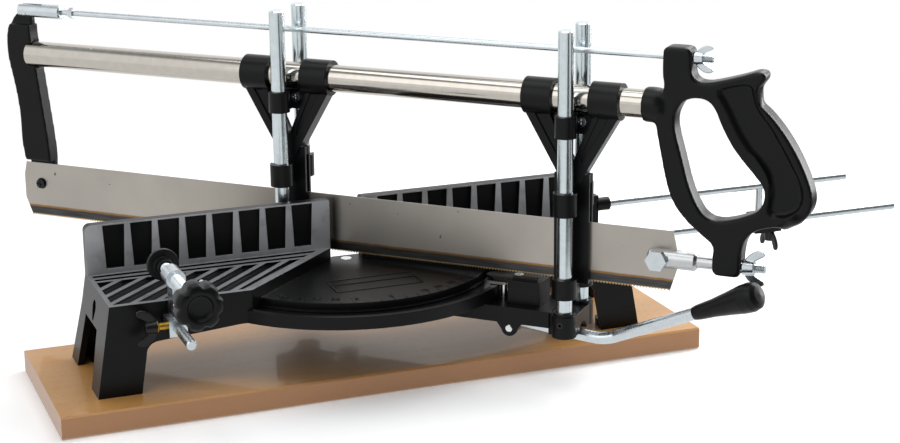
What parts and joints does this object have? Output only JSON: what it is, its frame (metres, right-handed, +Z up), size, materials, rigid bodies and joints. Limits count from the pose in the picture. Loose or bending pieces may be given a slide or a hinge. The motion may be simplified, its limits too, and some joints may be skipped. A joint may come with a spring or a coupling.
{
  "type": "manual mitre saw",
  "caption": "Manual mitre saw: a tensioned blade in a sliding frame, lifted on guide posts over a swing arm under a cast base with a fence, work clamp and length stop.",
  "frame": {"origin": "on the axis of the swing pivot, at the underside of the bench board", "axes": "+X to the right along the fence, +Y from the work towards the back of the fence, +Z up"},
  "size_m": [0.781, 0.5183, 0.2883],
  "materials": {
    "board_wood": "thin clear varnish over orange-brown beech",
    "black_casting": "satin black stove enamel, slightly textured",
    "black_plastic": "satin black moulded plastic",
    "zinc_steel": "bright zinc plate",
    "bright_steel": "bright turned steel",
    "yellow_zinc": "yellow passivated zinc plate",
    "dark_steel": "black oxide",
    "nickel_tube": "warm satin nickel plate",
    "blade_steel": "ground and oiled, with a dark hardened band of teeth",
    "cast_aluminium": "turned aluminium"
  },
  "bodies": {
    "base": {"base_board": "board_wood", "board_screws": "zinc_steel", "base_casting": "black_casting", "pivot_bolt": "bright_steel", "pivot_washers": "zinc_steel", "pivot_nut": "zinc_steel", "clamp_rod": "zinc_steel", "stop_guide_rod": "zinc_steel"},
    "swing_arm": {"swing_arm": "black_casting", "front_post_near": "zinc_steel", "front_post_far": "zinc_steel", "rear_post_near": "zinc_steel", "rear_post_far": "zinc_steel", "post_set_screws": "dark_steel", "lock_housing": "black_casting", "lock_housing_screw": "zinc_steel", "lock_spring": "bright_steel", "lever_pin": "bright_steel"},
    "lock_plunger": {"lock_plunger": "bright_steel"},
    "release_lever": {"release_lever": "zinc_steel", "lever_grip": "black_plastic"},
    "front_carrier": {"front_carrier": "black_casting", "front_carrier_screw": "zinc_steel"},
    "rear_carrier": {"rear_carrier": "black_casting", "rear_carrier_screw": "zinc_steel"},
    "saw_frame": {"frame_tube": "nickel_tube", "frame_arm": "black_casting", "saw_handle": "black_plastic", "tension_rod": "zinc_steel", "tension_clevis": "zinc_steel", "clevis_pin": "bright_steel", "tension_lock_nut": "zinc_steel", "saw_blade": "blade_steel", "blade_screw": "zinc_steel", "blade_clevis": "cast_aluminium", "blade_clevis_bolt": "zinc_steel"},
    "tension_wing_nut": {"tension_wing_nut": "bright_steel"},
    "blade_wing_nut": {"blade_wing_nut": "bright_steel"},
    "clamp_slider": {"clamp_block": "zinc_steel"},
    "clamp_wing_screw": {"clamp_wing_screw": "black_plastic"},
    "clamp_pad": {"clamp_pad": "black_casting"},
    "clamp_spindle": {"clamp_spindle": "zinc_steel", "clamp_lock_nut": "zinc_steel", "clamp_knob": "black_plastic", "clamp_knob_cap": "black_plastic"},
    "stop_slider": {"stop_clamp_block": "black_casting", "stop_rod": "zinc_steel", "stop_bar": "black_casting"},
    "stop_wing_screw": {"stop_wing_screw": "dark_steel"}
  },
  "joints": [
    {"name": "mitre_swing", "type": "hinge", "parent": "base", "child": "swing_arm", "pos_m": [0, 0, 0.062], "axis": [0, 0, 1], "range_deg": [-81, 0]},
    {"name": "lever_hinge", "type": "hinge", "parent": "swing_arm", "child": "release_lever", "pos_m": [0.1096, -0.1096, 0.0447], "axis": [0.7071, 0.7071, 0], "range_deg": [0, 8], "stiffness_Nm_per_rad": 1.5, "springref_deg": -17.19},
    {"name": "plunger_lift", "type": "slide", "parent": "swing_arm", "child": "lock_plunger", "axis": [0, 0, 1], "range_m": [0, 0.0018], "deforming": ["lock_spring"]},
    {"name": "front_lift", "type": "slide", "parent": "swing_arm", "child": "front_carrier", "axis": [0, 0, 1], "range_m": [0, 0.066]},
    {"name": "rear_lift", "type": "slide", "parent": "swing_arm", "child": "rear_carrier", "axis": [0, 0, 1], "range_m": [0, 0.066]},
    {"name": "saw_stroke", "type": "slide", "parent": "front_carrier", "child": "saw_frame", "axis": [0.7071, -0.7071, 0], "range_m": [-0.015, 0.198]},
    {"name": "tension_nut_turn", "type": "hinge", "parent": "saw_frame", "child": "tension_wing_nut", "pos_m": [0.21355, -0.21355, 0.2703], "axis": [0.7071, -0.7071, 0], "continuous": true},
    {"name": "blade_nut_turn", "type": "hinge", "parent": "saw_frame", "child": "blade_wing_nut", "pos_m": [0.24395, -0.24395, 0.1113], "axis": [0.7071, -0.7071, 0], "continuous": true},
    {"name": "clamp_slide", "type": "slide", "parent": "base", "child": "clamp_slider", "axis": [0, -1, 0], "range_m": [0, 0.04]},
    {"name": "clamp_screw_turn", "type": "hinge", "parent": "clamp_slider", "child": "clamp_wing_screw", "pos_m": [-0.18, -0.1013, 0.0753], "axis": [1, 0, 0], "continuous": true},
    {"name": "pad_slide", "type": "slide", "parent": "clamp_slider", "child": "clamp_pad", "axis": [0, -1, 0], "range_m": [-0.042, 0.013]},
    {"name": "knob_turn", "type": "hinge", "parent": "clamp_pad", "child": "clamp_spindle", "pos_m": [-0.17, -0.12, 0.1137], "axis": [0, 1, 0], "continuous": true},
    {"name": "stop_slide", "type": "slide", "parent": "base", "child": "stop_slider", "axis": [1, 0, 0], "range_m": [-0.13, 0.115]},
    {"name": "stop_screw_turn", "type": "hinge", "parent": "stop_slider", "child": "stop_wing_screw", "pos_m": [0.389, -0.026, 0.06], "axis": [0, 0, 1], "continuous": true}
  ],
  "couplings": [
    {"joint": "plunger_lift", "follows": "lever_hinge", "m_per_rad": 0.01265},
    {"joint": "rear_lift", "follows": "front_lift", "ratio": 1},
    {"joint": "knob_turn", "follows": "pad_slide", "rad_per_m": -5026.5}
  ]
}
